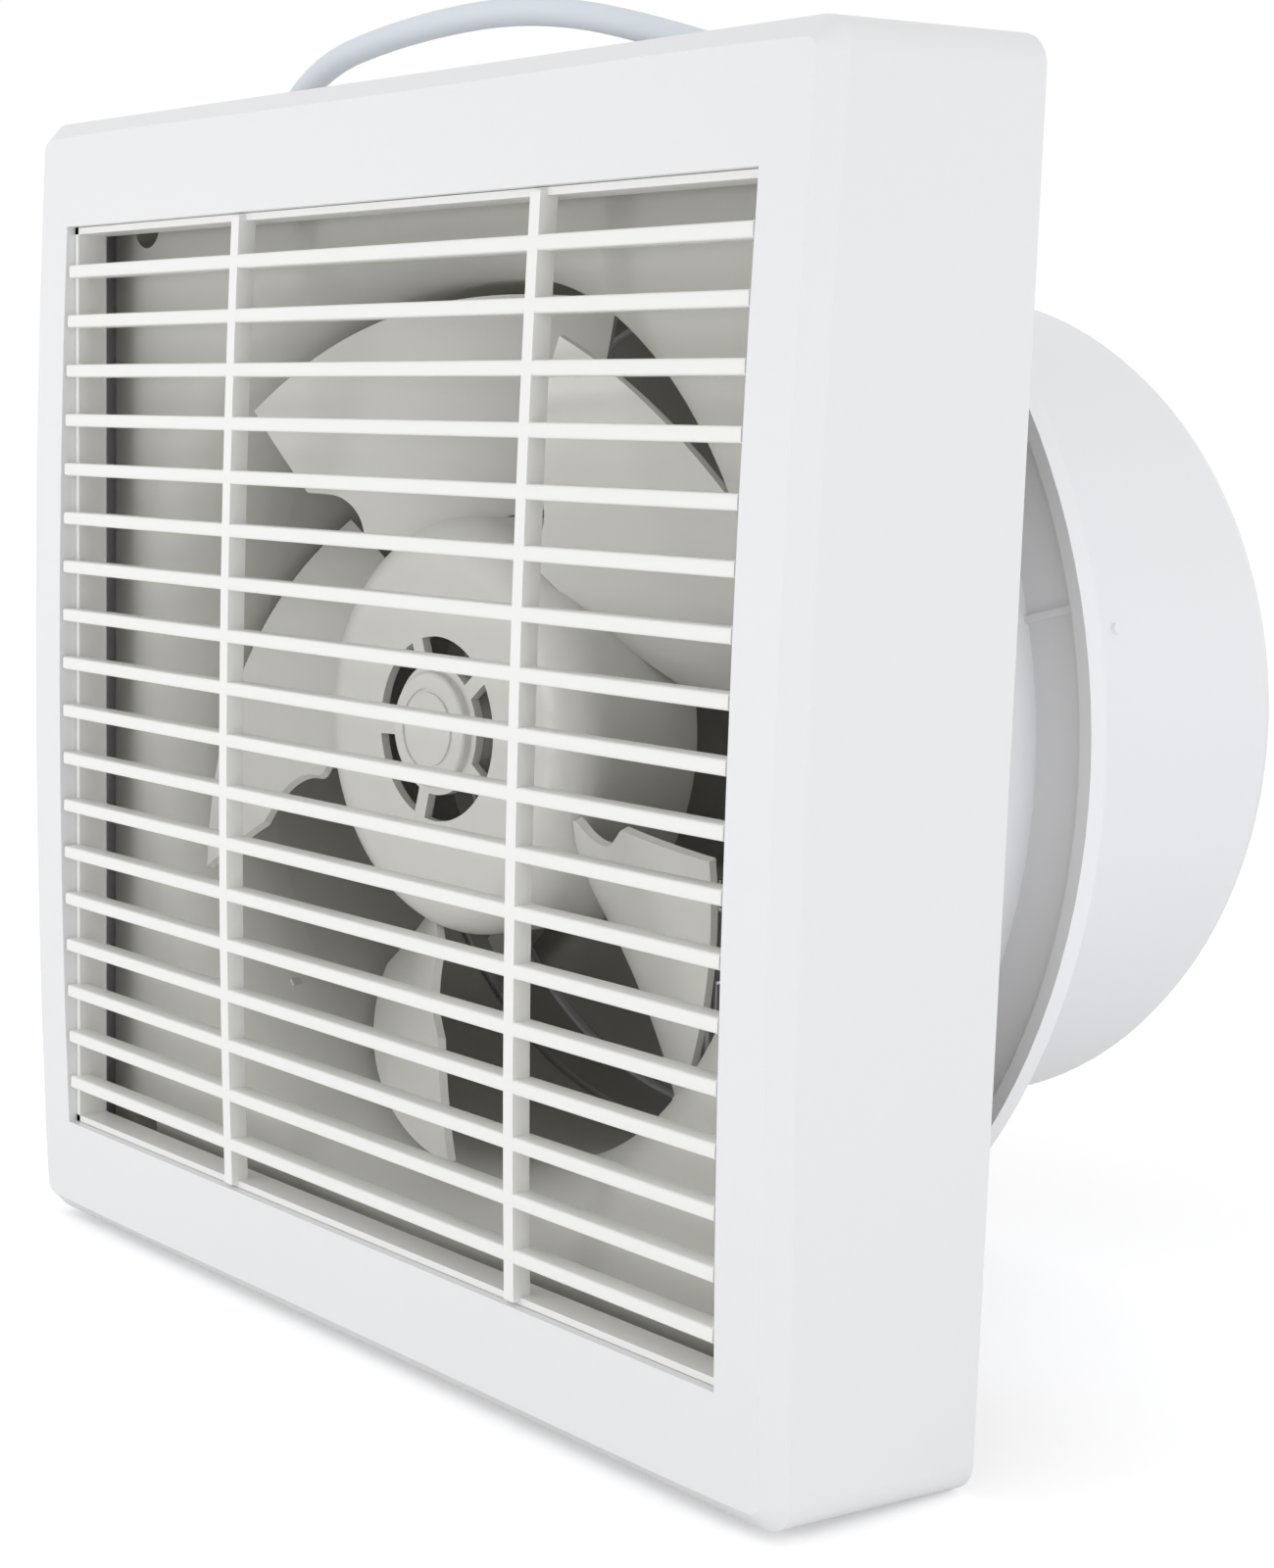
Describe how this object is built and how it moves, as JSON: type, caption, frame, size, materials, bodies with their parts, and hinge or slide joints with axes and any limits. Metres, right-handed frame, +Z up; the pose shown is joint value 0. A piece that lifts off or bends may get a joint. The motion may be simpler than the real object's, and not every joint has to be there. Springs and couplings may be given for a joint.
{
  "type": "bathroom exhaust fan",
  "caption": "Square through-wall exhaust fan with a louvred front panel, pitched-blade impeller, motor on a spider, backdraft flaps and a round rear duct with a clamp flange.",
  "frame": {"origin": "centre of the fan's bounding box in plan, at the floor it stands on, without the cord", "axes": "+Y along the duct towards the wall's far side, +X to the right seen from the room, +Z up"},
  "size_m": [0.29, 0.1988, 0.3152],
  "materials": {
    "cover_white": "smooth semi-gloss moulded plastic",
    "grille_white": "smooth semi-gloss moulded plastic",
    "frame_grey": "satin moulded plastic",
    "duct_white": "smooth moulded plastic",
    "blade_grey": "smooth moulded plastic",
    "flap_grey": "satin moulded plastic",
    "spider_grey": "satin moulded plastic",
    "motor_paint": "satin paint",
    "steel": "bright zinc-plated",
    "copper": "enamelled wire",
    "rubber_grey": "matt",
    "cord_white": "smooth flexible sheath",
    "plug_white": "smooth moulded plastic",
    "pin_plate": "nickel plated"
  },
  "bodies": {
    "fan_body": {"front_cover": "cover_white", "louvre_grille": "grille_white", "base_frame": "frame_grey", "rear_duct": "duct_white", "clamp_screws": "steel", "cover_clips": "steel", "neck_seal": "rubber_grey", "motor_front_shell": "motor_paint", "motor_rear_shell": "motor_paint", "stator_core": "steel", "windings": "copper", "front_bearing": "steel", "rear_bearing": "steel", "motor_spider": "spider_grey", "rubber_bushes": "rubber_grey", "tie_bolts": "steel", "tie_nuts": "steel", "flap_rod": "steel", "terminal_cover": "frame_grey", "terminal_block": "plug_white", "terminal_screws": "steel", "motor_lead": "cord_white", "cord_gland": "cord_white", "power_cord": "cord_white", "cord_coil": "cord_white", "cord_tie": "plug_white", "plug_body": "plug_white", "plug_pins": "pin_plate"},
    "rotor": {"impeller": "blade_grey", "hub_cap": "blade_grey", "shaft": "steel", "shaft_spacers": "steel", "shaft_washer": "steel", "shaft_nut": "steel", "rotor_core": "steel"},
    "flap_right_body": {"flap_right": "flap_grey"},
    "flap_left_body": {"flap_left": "flap_grey"}
  },
  "joints": [
    {"name": "impeller_spin", "type": "hinge", "parent": "fan_body", "child": "rotor", "pos_m": [0, -0.05475, 0.145], "axis": [0, 1, 0], "continuous": true},
    {"name": "flap_right_swing", "type": "hinge", "parent": "fan_body", "child": "flap_right_body", "pos_m": [0, 0.01745, 0.145], "axis": [0, 0, 1], "range_deg": [0, 75], "stiffness_Nm_per_rad": 0.01},
    {"name": "flap_left_swing", "type": "hinge", "parent": "fan_body", "child": "flap_left_body", "pos_m": [0, 0.01745, 0.145], "axis": [0, 0, -1], "range_deg": [0, 75], "stiffness_Nm_per_rad": 0.01}
  ]
}
